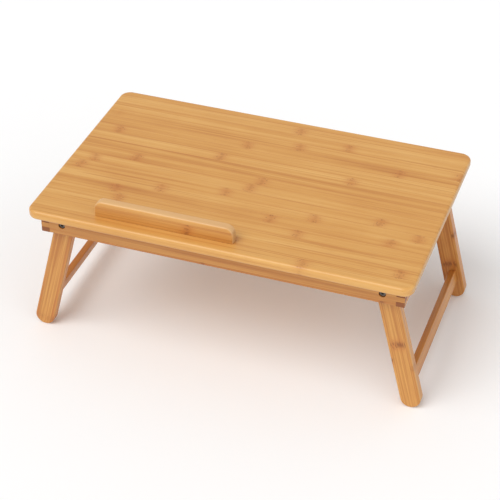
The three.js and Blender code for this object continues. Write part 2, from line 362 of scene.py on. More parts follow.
def turned(name, profile, sides=40):
    """A solid turned about Z from (radius, height) steps, upwards.

    It starts as a disc that is extruded and scaled step by step.
    """
    clear_selection()
    radius, height = profile[0]
    bpy.ops.mesh.primitive_circle_add(
        vertices=sides, radius=radius, fill_type="NGON", location=(0, 0, height)
    )
    piece = bpy.context.object
    piece.name = name
    fix_place(piece)
    bpy.ops.object.mode_set(mode="EDIT")
    bpy.ops.mesh.select_mode(type="FACE")
    bpy.ops.mesh.select_all(action="SELECT")
    for next_radius, next_height in profile[1:]:
        rise = (0, 0, next_height - height)
        bpy.ops.mesh.extrude_region_move(TRANSFORM_OT_translate={"value": rise})
        ratio = next_radius / radius
        bpy.ops.transform.resize(value=(ratio, ratio, 1), center_override=(0, 0, next_height))
        radius, height = next_radius, next_height
    bpy.ops.mesh.select_all(action="SELECT")
    bpy.ops.mesh.normals_make_consistent(inside=False)
    bpy.ops.object.mode_set(mode="OBJECT")
    return piece


def ridged(radius, root, start, end, pitch):
    """Steps of a threaded stretch, crest and root in turn, upwards from start to end."""
    count = max(1, round((end - start) / pitch))
    step = (end - start) / count
    steps = []
    for i in range(count):
        steps.append((radius, start + i * step))
        steps.append((root, start + (i + 0.5) * step))
    return steps


def copy_of(piece, name):
    double = piece.copy()
    double.data = piece.data.copy()
    double.name = name
    bpy.context.scene.collection.objects.link(double)
    return double


def put_at(piece, place, turn=(0.0, 0.0, 0.0)):
    piece.rotation_euler = turn
    piece.location = place
    fix_place(piece)


def settle(piece, node, material):
    """The finished piece gets its material and takes the place of its frame node, which is hidden,
    on the node's body.
    """
    piece.data.materials.clear()
    piece.data.materials.append(material)
    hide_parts(node)
    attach(piece, BODY_OF[node])


def centre(node):
    low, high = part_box(node)
    return (low + high) / 2


def pivot_of(side_name):
    return Vector(FOLD_OF[f"{side_name}_leg_frame"]["pos_m"])


def splay_of(side_name):
    """The angle that a leg leans out at rest: it folds through a right angle more than that."""
    return math.radians(FOLD_OF[f"{side_name}_leg_frame"]["range_deg"][1] - 90)


# ---- materials -----------------------------------------------------------------------------------


class Finish:
    """A material under construction, with short calls for its nodes."""

    def __init__(self, name):
        self.material = bpy.data.materials.new(name)
        self.material.use_nodes = True
        self.tree = self.material.node_tree
        self.tree.nodes.clear()
        self.shader = self.add("ShaderNodeBsdfPrincipled")
        output = self.add("ShaderNodeOutputMaterial")
        self.tree.links.new(self.shader.outputs["BSDF"], output.inputs["Surface"])

    def add(self, kind, **settings):
        node = self.tree.nodes.new(kind)
        for key, value in settings.items():
            setattr(node, key, value)
        return node

    def feed(self, socket, value):
        if isinstance(value, bpy.types.NodeSocket):
            self.tree.links.new(value, socket)
        elif socket.type == "RGBA" and len(value) == 3:
            socket.default_value = (*value, 1.0)
        else:
            socket.default_value = value

    def set(self, **values):
        """Feed the shader's inputs by name, with _ for a space."""
        for key, value in values.items():
            self.feed(self.shader.inputs[key.replace("_", " ")], value)

    def math(self, operation, *values):
        node = self.add("ShaderNodeMath", operation=operation)
        for socket, value in zip(node.inputs, values):
            self.feed(socket, value)
        return node.outputs[0]

    def product(self, first, *others):
        for value in others:
            first = self.math("MULTIPLY", first, value)
        return first

    def total(self, *weighted):
        """The sum of (value, weight) pairs."""
        result = 0.0
        for value, weight in weighted:
            result = self.math("MULTIPLY_ADD", value, weight, result)
        return result

    def between(self, value, low, high, to_low=0.0, to_high=1.0):
        """A smooth step from to_low to to_high as the value goes from low to high."""
        node = self.add("ShaderNodeMapRange", interpolation_type="SMOOTHSTEP")
        for socket, number in zip(node.inputs, (value, low, high, to_low, to_high)):
            self.feed(socket, number)
        return node.outputs["Result"]

    def bump_curve(self, value, width):
        """1 where the value is 0, falling off on both sides over the width."""
        scaled = self.math("DIVIDE", value, width)
        return self.math("EXPONENT", self.product(scaled, scaled, -1.0))

    def vector(self, x, y, z):
        node = self.add("ShaderNodeCombineXYZ")
        for socket, value in zip(node.inputs, (x, y, z)):
            self.feed(socket, value)
        return node.outputs["Vector"]

    def split(self, vector):
        node = self.add("ShaderNodeSeparateXYZ")
        self.feed(node.inputs["Vector"], vector)
        return list(node.outputs)

    def noise(self, vector, detail=2.0, roughness=0.5, scale=1.0):
        node = self.add("ShaderNodeTexNoise")
        self.feed(node.inputs["Vector"], vector)
        node.inputs["Scale"].default_value = scale
        node.inputs["Detail"].default_value = detail
        node.inputs["Roughness"].default_value = roughness
        return node.outputs["Fac"]

    def chance(self, x, y, z):
        """Three even random values from 0 to 1 for each whole x, y, z."""
        node = self.add("ShaderNodeTexWhiteNoise", noise_dimensions="3D")
        self.feed(node.inputs["Vector"], self.vector(x, y, z))
        return self.split(node.outputs["Color"])

    def blend(self, amount, first, second, mode="MIX"):
        node = self.add("ShaderNodeMix", data_type="RGBA", blend_type=mode)
        self.feed(node.inputs["Factor"], amount)
        self.feed(node.inputs[6], first)
        self.feed(node.inputs[7], second)
        return node.outputs[2]

    def ramp(self, value, *stops):
        node = self.add("ShaderNodeValToRGB")
        self.feed(node.inputs["Fac"], value)
        elements = node.color_ramp.elements
        while len(elements) < len(stops):
            elements.new(0.5)
        for element, (position, tone) in zip(elements, stops):
            element.position = position
            element.color = (*tone, 1.0)
        return node.outputs["Color"]

    def coordinates(self, place=(0.0, 0.0, 0.0), turn=0.0):
        """The object's own coordinates and normal, seen from axes at place, turned about Y."""
        source = self.add("ShaderNodeTexCoord")
        seen = []
        for name, origin in (("Object", place), ("Normal", (0.0, 0.0, 0.0))):
            mapping = self.add("ShaderNodeMapping", vector_type="TEXTURE")
            self.feed(mapping.inputs["Vector"], source.outputs[name])
            mapping.inputs["Location"].default_value = origin
            mapping.inputs["Rotation"].default_value = (0.0, turn, 0.0)
            seen.append(mapping.outputs["Vector"])
        return seen

    def bump(self, height, distance, strength=1.0):
        node = self.add("ShaderNodeBump")
        self.feed(node.inputs["Height"], height)
        node.inputs["Distance"].default_value = distance
        node.inputs["Strength"].default_value = strength
        self.feed(self.shader.inputs["Normal"], node.outputs["Normal"])


# Streaks of the grain: how often they vary in a metre along and across, their detail and roughness.
STREAKS = {
    "broad": (2.5, 110.0, 1.0, 0.5),
    "lines": (4.0, 420.0, 3.0, 0.6),
    "fibres": (22.0, 2200.0, 2.0, 0.6),
    "dark_lines": (3.0, 300.0, 1.0, 0.5),
    "dashes": (70.0, 1500.0, 1.0, 0.5),
    "smudges": (95.0, 520.0, 1.0, 0.5),
    "red": (2.2, 190.0, 1.0, 0.5),
    "seams": (6.0, 9.0, 2.0, 0.5),
}


def bamboo(
    name, grain, place=(0.0, 0.0, 0.0), turn=0.0, shift=(0.0, 0.0), seed=0.0,
    lightness=0.0, contrast=1.0, fine=0.0, ruddy=0.0, band=0.25, cut_edges=0.0, dark_ends=False,
):
    """Laminated bamboo.

    grain names the piece's axes along the strips, across them and through their thickness. shift
    moves the pattern along and across the strips, fine makes its streaks narrower, ruddy makes some
    of them red, band is the strength of the dark line at a node, and cut_edges is how far the faces
    across the thickness turn pale.
    """
    look = bpy.context.scene.tray_bamboo
    finish = Finish(name)
    position, normal = finish.coordinates(place, turn)
    axes = dict(zip("xyz", finish.split(position)))
    facing = dict(zip("xyz", finish.split(normal)))
    along, across, depth = (axes[axis] for axis in grain)
    along = finish.math("ADD", along, shift[0])
    across = finish.math("ADD", across, shift[1])

    # Which strip, and how far across it.
    strips = finish.math("ADD", finish.math("DIVIDE", across, look.strip), 50.0)
    strip = finish.math("FLOOR", strips)
    in_strip = finish.math("FRACT", strips)
    own = finish.chance(strip, seed, 0.5)
    to_joint = finish.math("MINIMUM", in_strip, finish.math("SUBTRACT", 1.0, in_strip))
    joint_line = finish.between(to_joint, 0.0, look.joint, 1.0, 0.0)

    # Nodes of the culm: one in the middle half of a stretch of the strip, but not in every stretch.
    stretches = finish.math(
        "ADD", finish.math("DIVIDE", along, look.knot_spacing), finish.product(own[0], 7.0)
    )
    stretch = finish.math("FLOOR", stretches)
    luck = finish.chance(strip, stretch, seed + 0.5)
    middle = finish.math("MULTIPLY_ADD", luck[0], 0.5, 0.25)
    off_middle = finish.math("SUBTRACT", finish.math("FRACT", stretches), middle)
    off_crown = finish.math("SUBTRACT", in_strip, luck[1])
    bow = finish.product(finish.math("POWER", off_crown, 2.0), look.knot_bow)
    to_knot = finish.math("MULTIPLY_ADD", off_middle, look.knot_spacing, bow)
    shown = finish.between(luck[2], 0.30, 0.42)
    on_strip = finish.between(to_joint, 0.0, 0.12)
    near = finish.product(finish.bump_curve(to_knot, (1.8 + 2.6 * band) * MM), shown)
    around = finish.product(finish.bump_curve(to_knot, look.knot_zone), shown, on_strip)

    # Fibres run along the strip, swerve a little at a node, and are the strip's own.
    waver = finish.noise(
        finish.vector(finish.product(along, 60.0), finish.product(across, 160.0), strip)
    )
    swerve = finish.product(finish.math("SUBTRACT", waver, 0.5), around)
    swerved = finish.math("MULTIPLY_ADD", swerve, look.swerve, across)

    def streaks(kind):
        along_scale, across_scale, detail, roughness = STREAKS[kind]
        deep = finish.math("MULTIPLY_ADD", own[1], 37.0, finish.product(depth, across_scale))
        grown = finish.vector(
            finish.product(along, along_scale), finish.product(swerved, across_scale), deep
        )
        return finish.noise(grown, detail, roughness)

    broad = streaks("broad")
    lines = streaks("lines")
    fibres = streaks("fibres")
    dark_lines = finish.between(streaks("dark_lines"), 0.62, 0.70)
    dashes = finish.between(streaks("dashes"), 0.60, 0.72)
    smudges = finish.between(streaks("smudges"), 0.38, 0.58)
    cloud = finish.noise(position, 2.0, 0.5, scale=9.0)

    shares = (
        (own[2], 0.30), (broad, 0.95 - 0.55 * fine), (lines, 0.75 + 0.65 * fine),
        (fibres, 0.30 + 0.3 * fine), (cloud, 0.40),
    )
    average = sum(weight for _, weight in shares) / 2
    off_average = finish.math("SUBTRACT", finish.total(*shares, (joint_line, -0.1)), average)
    tone = finish.math("MULTIPLY_ADD", off_average, contrast, 0.5 + lightness)
    base = finish.ramp(tone, (0.0, look.toasted), (0.5, look.honey), (1.0, look.pale))
    base = finish.blend(finish.product(dark_lines, 0.45), base, look.toasted)
    base = finish.blend(finish.product(dashes, 0.25), base, look.toasted)
    red = finish.between(streaks("red"), 0.50, 0.66)
    base = finish.blend(finish.product(red, ruddy), base, look.blush)
    seam = finish.product(joint_line, finish.between(streaks("seams"), 0.40, 0.60, 0.15, 0.55))
    base = finish.blend(seam, base, look.blush)

    # A node: a redder zone, a loose ring of dots, and a broken dark line across the strip.
    cells = finish.add("ShaderNodeTexVoronoi", feature="F1")
    cells_at = finish.vector(finish.product(along, 250.0), finish.product(across, 330.0), strip)
    finish.feed(cells.inputs["Vector"], cells_at)
    cells.inputs["Scale"].default_value = 1.0
    kept = finish.between(finish.split(cells.outputs["Color"])[0], 0.42, 0.46)
    specks = finish.product(finish.between(cells.outputs["Distance"], 0.20, 0.38, 1.0, 0.0), kept)
    ring_along = finish.math("POWER", finish.math("DIVIDE", to_knot, look.knot_ring), 2.0)
    ring_across = finish.math("POWER", finish.math("MULTIPLY_ADD", in_strip, 2.4, -1.2), 2.0)
    from_knot = finish.math("SQRT", finish.math("ADD", ring_along, ring_across))
    ring = finish.product(finish.bump_curve(finish.math("SUBTRACT", from_knot, 0.9), 0.55), shown)
    base = finish.blend(finish.product(around, 0.34 + 0.22 * band), base, look.blush)
    base = finish.blend(finish.product(ring, specks, 0.42), base, look.knot)
    base = finish.blend(finish.product(near, smudges, 0.7 * band), base, look.knot)

    # The faces across the thickness show the paler inside of the strips.
    broad_side = finish.math("ABSOLUTE", facing[grain[2]])
    turned_away = finish.between(broad_side, 0.55, 0.95, cut_edges, 0.0)
    base = finish.blend(turned_away, base, look.core)

    # Sawn ends show the fibres as dots.
    dots = finish.add("ShaderNodeTexVoronoi", feature="F1")
    finish.feed(dots.inputs["Vector"], finish.vector(across, depth, 0.0))
    dots.inputs["Scale"].default_value = 1100.0
    dot = finish.between(dots.outputs["Distance"], 0.18, 0.42, 1.0, 0.0)
    end, end_fibre = look.pale_end, look.pale_end_fibre
    if dark_ends:
        end, end_fibre = look.dark_end, look.dark_end_fibre
    sawn = finish.blend(finish.product(dot, cloud, 1.1), end, end_fibre)
    at_end = finish.between(finish.math("ABSOLUTE", facing[grain[0]]), 0.80, 0.98)

    rough = finish.total((lines, 0.12), (fibres, 0.10), (at_end, 0.20), (near, 0.06))
    finish.set(Base_Color=finish.blend(at_end, base, sawn))
    finish.set(Roughness=finish.math("ADD", rough, 0.33), IOR=1.45)
    finish.set(Coat_Weight=look.gloss, Coat_Roughness=0.25)
    relief = finish.total(
        (fibres, 0.35), (lines, 0.30), (joint_line, -0.8), (near, 0.6), (dashes, -0.35)
    )
    finish.bump(relief, 0.12 * MM)
    return finish.material


def dimmed(tone, share):
    return [value * share for value in tone]


def metal(name, tone, roughness):
    """Plated or turned metal: fine turning marks, faint stains and a varied polish."""
    finish = Finish(name)
    position, _ = finish.coordinates()
    marks = finish.noise(position, 3.0, 0.7, scale=2600.0)
    stains = finish.noise(position, 3.0, 0.6, scale=260.0)
    stained = finish.between(stains, 0.45, 0.75, 0.0, 0.6)
    base = finish.blend(stained, tone, dimmed(tone, 0.45))
    rough = finish.total((marks, 0.16), (stains, 0.14))
    finish.set(Base_Color=base, Metallic=1.0, Roughness=finish.math("ADD", rough, roughness))
    finish.bump(marks, 0.02 * MM)
    return finish.material


def beech(name, tone):
    """Turned hardwood with short dark rays along Y."""
    finish = Finish(name)
    position, _ = finish.coordinates()
    x, y, z = finish.split(position)
    grain = finish.vector(
        finish.product(x, 900.0), finish.product(y, 70.0), finish.product(z, 900.0)
    )
    rays = finish.between(finish.noise(grain, 2.0, 0.6), 0.5, 0.72)
    broad = finish.noise(position, 2.0, 0.5, scale=120.0)
    base = finish.blend(finish.product(rays, 0.55), tone, dimmed(tone, 0.45))
    base = finish.blend(finish.product(broad, 0.3), base, dimmed(tone, 0.75))
    finish.set(Base_Color=base, Roughness=finish.math("MULTIPLY_ADD", rays, 0.15, 0.6))
    finish.bump(rays, 0.05 * MM)
    return finish.material


# ---- the tabletop --------------------------------------------------------------------------------

PANEL_SCREWS = {
    "front_rail": ("panel_screw_front_left", "panel_screw_front_right"),
    "rear_rail": ("panel_screw_rear_left", "panel_screw_rear_right"),
    "left_rail": ("panel_screw_left",),
    "right_rail": ("panel_screw_right",),
}
LEDGE_SCREWS = ("ledge_screw_left", "ledge_screw_right")


def upright_rod(radius, screw, bottom, top, sides):
    """A cutter on a wood screw's axis, from below a piece's bottom to the height top."""
    x, y, _ = centre(screw)
    return add_rod(radius, Vector((x, y, bottom - OVERSHOOT)), Vector((x, y, top)), sides)


def shank_hole(screw, bottom):
    """A cutter for a wood screw's shank, to just past the screw's tip."""
    hardware = bpy.context.scene.tray_hardware_sizes
    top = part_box(screw)[1].z + hardware.screw_gap
    return upright_rod(hardware.screw_shank + hardware.screw_gap, screw, bottom, top, 32)


def head_hole(screw, bottom):
    """A cutter for a wood screw's head, to just above the head."""
    hardware = bpy.context.scene.tray_hardware_sizes
    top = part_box(screw)[0].z + hardware.screw_head_height + hardware.screw_gap
    return upright_rod(hardware.screw_head + 2 * hardware.screw_gap, screw, bottom, top, 40)


class TRAY_OT_top_panel(bpy.types.Operator):
    """Make the panel: round corners, a rounded edge, and the screw holes in its underside"""

    bl_idname = "tray.top_panel"
    bl_label = "Top Panel"

    def execute(self, context):
        sizes = context.scene.tray_sizes
        low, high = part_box("top_panel")
        panel = add_block("finished_top_panel", low, high)
        round_edges(panel, sizes.panel_corner, 14, runs_along(2))
        for plane in (low.z, high.z):
            round_edges(panel, sizes.panel_edge, 9, both_at(2, plane))
        holes = [shank_hole(screw, low.z) for screws in PANEL_SCREWS.values() for screw in screws]
        for screw in LEDGE_SCREWS:
            holes += [shank_hole(screw, low.z), head_hole(screw, low.z)]
        cut(panel, holes)
        shade(panel)
        first_joint = (0.0, low.y + 20 * MM, 0.0)
        material = bamboo("panel_bamboo", "xyz", place=first_joint, seed=1.0, lightness=0.06)
        settle(panel, "top_panel", material)
        return {"FINISHED"}


class TRAY_OT_device_ledge(bpy.types.Operator):
    """Make the ledge that a laptop or tablet rests against, with its two screw holes"""

    bl_idname = "tray.device_ledge"
    bl_label = "Device Ledge"

    def execute(self, context):
        sizes = context.scene.tray_sizes
        low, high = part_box("device_ledge")
        ledge = add_block("finished_device_ledge", low, high)
        above_foot = low.z + 1 * MM
        round_edges(
            ledge, sizes.ledge_corner, 12,
            lambda start, end: runs_along(1)(start, end) and start.z > above_foot,
        )
        for face in (low.y, high.y):
            round_edges(
                ledge, sizes.ledge_edge, 6,
                lambda start, end: (
                    both_at(1, face)(start, end) and max(start.z, end.z) > above_foot
                ),
            )
        round_edges(ledge, sizes.ledge_foot, 3, both_at(2, low.z))
        cut(ledge, [shank_hole(screw, low.z) for screw in LEDGE_SCREWS])
        shade(ledge)
        first_joint = (50 * MM, 0.0, low.z - 4 * MM)
        material = bamboo(
            "ledge_bamboo", "xzy", place=first_joint, shift=(-29 * MM, 0.0), seed=2.0,
            fine=0.4, ruddy=0.1, band=0.7, cut_edges=0.5,
        )
        settle(ledge, "device_ledge", material)
        return {"FINISHED"}


def pull_fingers(rail, low, high, axis, reach, first):
    """Box-joint fingers at both ends: counted from the bottom, every other one grows by reach."""
    sizes = bpy.context.scene.tray_sizes
    step = (high.z - low.z) / sizes.fingers
    for i in range(1, sizes.fingers):
        inset = sizes.glue_gap if i % 2 == first else -sizes.glue_gap
        slice_at(rail, (0, 0, low.z + i * step + inset), (0, 0, 1))
    for end in (-1, 1):
        shift = Vector((0, 0, 0))
        shift[axis] = end * reach
        pull_faces(
            rail, shift,
            lambda point, normal: (
                normal[axis] * end > 0.9 and int((point.z - low.z) / step) % 2 == first
            ),
        )


def round_lower_edges(rail, low, axis, radius):
    round_edges(
        rail, radius, 4,
        lambda start, end: runs_along(axis)(start, end) and both_at(2, low.z)(start, end),
    )


def rail_bamboo(node, grain, bottom, seed):
    first_joint = (0.0, 0.0, bottom + 4 * MM)
    # The low lightness darkens the whole rail: partly the rails' own darker bamboo, partly painted
    # shade standing in for the shade under the panel's overhang.
    return bamboo(
        f"{node}_bamboo", grain, place=first_joint, shift=(198 * MM, 0.0), seed=seed,
        lightness=-0.38, fine=0.3, band=0.7, dark_ends=True,
    )


class TRAY_OT_cross_rails(bpy.types.Operator):
    """Make the front and rear rails, with their long fingers and the pivot bolts' holes"""

    bl_idname = "tray.cross_rails"
    bl_label = "Front and Rear Rails"

    def execute(self, context):
        sizes = context.scene.tray_sizes
        hardware = context.scene.tray_hardware_sizes
        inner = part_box("right_rail")[0].x - sizes.glue_gap
        for place, side in PLACES:
            node = f"{place}_rail"
            low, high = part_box(node)
            rail = add_block(
                f"finished_{node}", Vector((-inner, low.y, low.z)), Vector((inner, high.y, high.z))
            )
            pull_fingers(rail, low, high, 0, high.x - inner, 1)
            round_lower_edges(rail, low, 0, sizes.rail_edge)
            outer, inside = (high.y, low.y) if side > 0 else (low.y, high.y)
            holes = []
            for side_name, _ in SIDES:
                pivot = pivot_of(side_name)
                start = Vector((pivot.x, outer + side * 2 * OVERSHOOT, pivot.z))
                end = Vector((pivot.x, inside - side * 4 * OVERSHOOT, pivot.z))
                seat = Vector((pivot.x, outer - side * sizes.counterbore_depth, pivot.z))
                holes.append(add_rod(hardware.bolt_shank + hardware.bolt_gap, start, end))
                holes.append(add_rod(sizes.counterbore, start, seat))
            for screw in PANEL_SCREWS[node]:
                holes += [shank_hole(screw, low.z), head_hole(screw, low.z)]
            cut(rail, holes)
            soften(rail, EASED_EDGE)
            shade(rail)
            settle(rail, node, rail_bamboo(node, "xzy", low.z, 4.0 + side))
        return {"FINISHED"}


class TRAY_OT_side_rails(bpy.types.Operator):
    """Make the left and right rails, with two long fingers at each end"""

    bl_idname = "tray.side_rails"
    bl_label = "Side Rails"

    def execute(self, context):
        sizes = context.scene.tray_sizes
        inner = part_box("rear_rail")[0].y - sizes.glue_gap
        for side_name, side in SIDES:
            node = f"{side_name}_rail"
            low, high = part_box(node)
            rail = add_block(
                f"finished_{node}", Vector((low.x, -inner, low.z)), Vector((high.x, inner, high.z))
            )
            pull_fingers(rail, low, high, 1, high.y - inner, 0)
            round_lower_edges(rail, low, 1, sizes.rail_edge)
            for screw in PANEL_SCREWS[node]:
                cut(rail, [shank_hole(screw, low.z), head_hole(screw, low.z)])
            soften(rail, EASED_EDGE)
            shade(rail)
            settle(rail, node, rail_bamboo(node, "yzx", low.z, 7.0 + side))
        return {"FINISHED"}


# ---- the leg frames ------------------------------------------------------------------------------


def lean(piece, side_name, side):
    """Move a piece made around the pivot, with the leg straight down, into its leg frame."""
    put_at(piece, pivot_of(side_name), (0.0, -side * splay_of(side_name), 0.0))


def upright(point, side_name, side):
    """A point of a leg frame, seen with the pivot at the origin and the leg straight down."""
    return Matrix.Rotation(side * splay_of(side_name), 3, "Y") @ (point - pivot_of(side_name))


def dowel_holes(places, side_name, side):
    """Cutters for the dowels at these ends of a stretcher, seen as in upright()."""
    hardware = bpy.context.scene.tray_hardware_sizes
    radius = hardware.dowel + hardware.dowel_gap
    cutters = []
    for place in places:
        for level in ("lower", "upper"):
            low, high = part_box(f"{side_name}_{place}_dowel_{level}")
            middle = upright((low + high) / 2, side_name, side)
            half = Vector((0, (high.y - low.y) / 2 + hardware.dowel_end_gap, 0))
            cutters.append(add_rod(radius, middle - half, middle + half, 32))
    return cutters


def leg_bamboo(name, grain, side_name, side, seed, **look):
    place = pivot_of(side_name)
    return bamboo(name, grain, place=place, turn=-side * splay_of(side_name), seed=seed, **look)


class TRAY_OT_legs(bpy.types.Operator):
    """Make the four legs: flat bars with full-round ends, drilled for the insert and the dowels"""

    bl_idname = "tray.legs"
    bl_label = "Legs"

    def execute(self, context):
        sizes = context.scene.tray_sizes
        hardware = context.scene.tray_hardware_sizes
        half_strip = context.scene.tray_bamboo.strip / 2
        radius = sizes.leg_width / 2
        for side_name, side in SIDES:
            pivot = pivot_of(side_name)
            reach = (pivot.z - radius) / math.cos(splay_of(side_name)) + radius
            for place, front in PLACES:
                node = f"{side_name}_{place}_leg"
                low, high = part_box(node)
                foot, top = Vector((-radius, low.y, -reach)), Vector((radius, high.y, radius))
                leg = add_block(f"finished_{node}", foot, top)
                # Just under half the width, so that the two rounded sides of an end don't meet.
                round_edges(leg, radius * 0.9995, 20, runs_along(1))
                for face in (low.y, high.y):
                    round_edges(leg, sizes.leg_edge, 5, both_at(1, face))
                insert_low, insert_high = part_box(f"{side_name}_{place}_insert")
                outer, inner = (low.y, insert_high.y) if front < 0 else (high.y, insert_low.y)
                insert_hole = add_rod(
                    hardware.insert + hardware.insert_gap,
                    Vector((0, outer + front * OVERSHOOT, 0)),
                    Vector((0, inner - front * hardware.insert_gap, 0)),
                )
                cut(leg, [insert_hole, *dowel_holes([place], side_name, side)])
                lean(leg, side_name, side)
                shade(leg)
                material = leg_bamboo(
                    f"{node}_bamboo", "zxy", side_name, side, 11.0 + side + 4 * front,
                    shift=(-36 * MM, half_strip), lightness=-0.36 if side < 0 else -0.22,
                    contrast=1.25, fine=1.0, ruddy=0.45 if side < 0 else 0.2, band=1.0,
                )
                settle(leg, node, material)
        return {"FINISHED"}


class TRAY_OT_stretchers(bpy.types.Operator):
    """Make the two stretchers, drilled for the dowels at both ends"""

    bl_idname = "tray.stretchers"
    bl_label = "Stretchers"

    def execute(self, context):
        sizes = context.scene.tray_sizes
        for side_name, side in SIDES:
            node = f"{side_name}_stretcher"
            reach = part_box(node)[1].y
            middle = Vector((side * sizes.stretcher_outward, 0, -sizes.stretcher_drop))
            half = Vector((sizes.stretcher_depth / 2, reach, sizes.stretcher_height / 2))
            bar = add_block(f"finished_{node}", middle - half, middle + half)
            round_edges(bar, sizes.stretcher_edge, 5, runs_along(1))
            cut(bar, dowel_holes([place for place, _ in PLACES], side_name, side))
            lean(bar, side_name, side)
            shade(bar)
            material = leg_bamboo(
                f"{node}_bamboo", "yzx", side_name, side, 21.0 + side,
                lightness=-0.40, fine=0.7, ruddy=0.3,
            )
            settle(bar, node, material)
        return {"FINISHED"}


# ---- hardware ------------------------------------------------------------------------------------


def at_pivots(*kinds):
    """The nodes of these kinds at the four pivots, with the turn that takes +Z to the outside."""
    return [
        (f"{side_name}_{place}_{kind}", (-front * math.pi / 2, 0.0, 0.0))
        for side_name, _ in SIDES
        for place, front in PLACES
        for kind in kinds
    ]


def settle_copies(pattern, nodes, material, place_of=centre):
    """Copies of the pattern take the places of the nodes, given as pairs of a node and its turn."""
    for node, turn in nodes:
        piece = copy_of(pattern, f"finished_{node}")
        put_at(piece, place_of(node), turn)
        settle(piece, node, material)
    bpy.data.objects.remove(pattern, do_unlink=True)


def half_length(node):
    low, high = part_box(node)
    return (high.y - low.y) / 2


def bore(piece, half):
    """Cut the bolt's hole through a washer or an insert."""
    past = Vector((0, 0, half + OVERSHOOT))
    cut(piece, [add_rod(bpy.context.scene.tray_hardware_sizes.bore, -past, past)])


class TRAY_OT_pivot_bolts(bpy.types.Operator):
    """Make the four pivot bolts: a round head with a hexagonal socket, and a threaded shank"""

    bl_idname = "tray.pivot_bolts"
    bl_label = "Pivot Bolts"

    def execute(self, context):
        hardware = context.scene.tray_hardware_sizes
        shank, radius = hardware.bolt_shank, hardware.bolt_head
        head = hardware.bolt_head_height
        tip = head - 2 * half_length("left_front_pivot_bolt")
        plain = tip + hardware.bolt_thread
        thread = ridged(shank, hardware.bolt_root, tip + 0.6 * MM, plain, hardware.bolt_pitch)
        bolt = turned(
            "bolt_pattern",
            [(shank - 0.6 * MM, tip), *thread, (shank, plain), (shank, 0.0),
             (radius - 0.4 * MM, 0.0), (radius, 0.3 * MM), (radius, head - 0.5 * MM),
             (radius - 0.15 * MM, head - 0.15 * MM), (radius - 0.5 * MM, head)],
        )
        bottom = Vector((0, 0, head - hardware.socket_depth))
        cut(bolt, [add_rod(hardware.socket, bottom, Vector((0, 0, head + OVERSHOOT)), 6)])
        soften(bolt, 0.12 * MM)
        shade(bolt)

        def under_head(node):
            low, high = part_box(node)
            pivot = pivot_of(node.split("_")[0])
            return (pivot.x, high.y - head if "_rear_" in node else low.y + head, pivot.z)

        material = metal("steel_bolt", context.scene.tray_hardware.steel, 0.22)
        settle_copies(bolt, at_pivots("pivot_bolt"), material, under_head)
        return {"FINISHED"}


class TRAY_OT_washers(bpy.types.Operator):
    """Make the washers between rails and legs"""

    bl_idname = "tray.washers"
    bl_label = "Washers"

    def execute(self, context):
        radius = context.scene.tray_hardware_sizes.washer
        half = half_length("left_front_washer")
        washer = turned(
            "washer_pattern",
            [(radius - 0.2 * MM, -half), (radius, -half + 0.15 * MM), (radius, half - 0.25 * MM),
             (radius - 0.3 * MM, half)], 56,
        )
        bore(washer, half)
        shade(washer)
        material = metal("steel_washer", context.scene.tray_hardware.steel, 0.28)
        settle_copies(washer, at_pivots("washer"), material)
        return {"FINISHED"}


class TRAY_OT_inserts(bpy.types.Operator):
    """Make the ribbed brass inserts in the legs"""

    bl_idname = "tray.inserts"
    bl_label = "Threaded Inserts"

    def execute(self, context):
        hardware = context.scene.tray_hardware_sizes
        radius = hardware.insert
        half = half_length("left_front_insert")
        collar = half - 1.2 * MM
        ribs = ridged(
            radius, hardware.insert_root, -half + 0.8 * MM, collar, hardware.insert_pitch
        )
        insert = turned(
            "insert_pattern", [(radius - 0.4 * MM, -half), *ribs, (radius, collar), (radius, half)]
        )
        bore(insert, half)
        shade(insert)
        material = metal("turned_brass", context.scene.tray_hardware.brass, 0.2)
        settle_copies(insert, at_pivots("insert"), material)
        return {"FINISHED"}


class TRAY_OT_dowels(bpy.types.Operator):
    """Make the fluted dowels that join the stretchers to the legs"""

    bl_idname = "tray.dowels"
    bl_label = "Dowels"

    def execute(self, context):
        hardware = context.scene.tray_hardware_sizes
        radius = hardware.dowel
        narrow = radius - 0.7 * MM
        half = half_length("left_front_dowel_lower")
        straight = half - hardware.dowel_chamfer
        sides = 2 * hardware.flutes
        dowel = turned(
            "dowel_pattern",
            [(narrow, -half), (radius, -straight), (radius, straight), (narrow, half)], sides,
        )

        def in_flute(start, end):
            turn = math.atan2(start.y, start.x) / (2 * math.pi)
            return runs_along(2)(start, end) and round(turn * sides) % 2 == 1

        pick(dowel, "EDGE", in_flute)
        narrowed = (hardware.flute, hardware.flute, 1.0)
        bpy.ops.transform.resize(value=narrowed, center_override=(0.0, 0.0, 0.0))
        bpy.ops.object.mode_set(mode="OBJECT")
        material = beech("dowel_beech", context.scene.tray_hardware.beech)
        settle_copies(dowel, at_pivots("dowel_lower", "dowel_upper"), material)
        return {"FINISHED"}


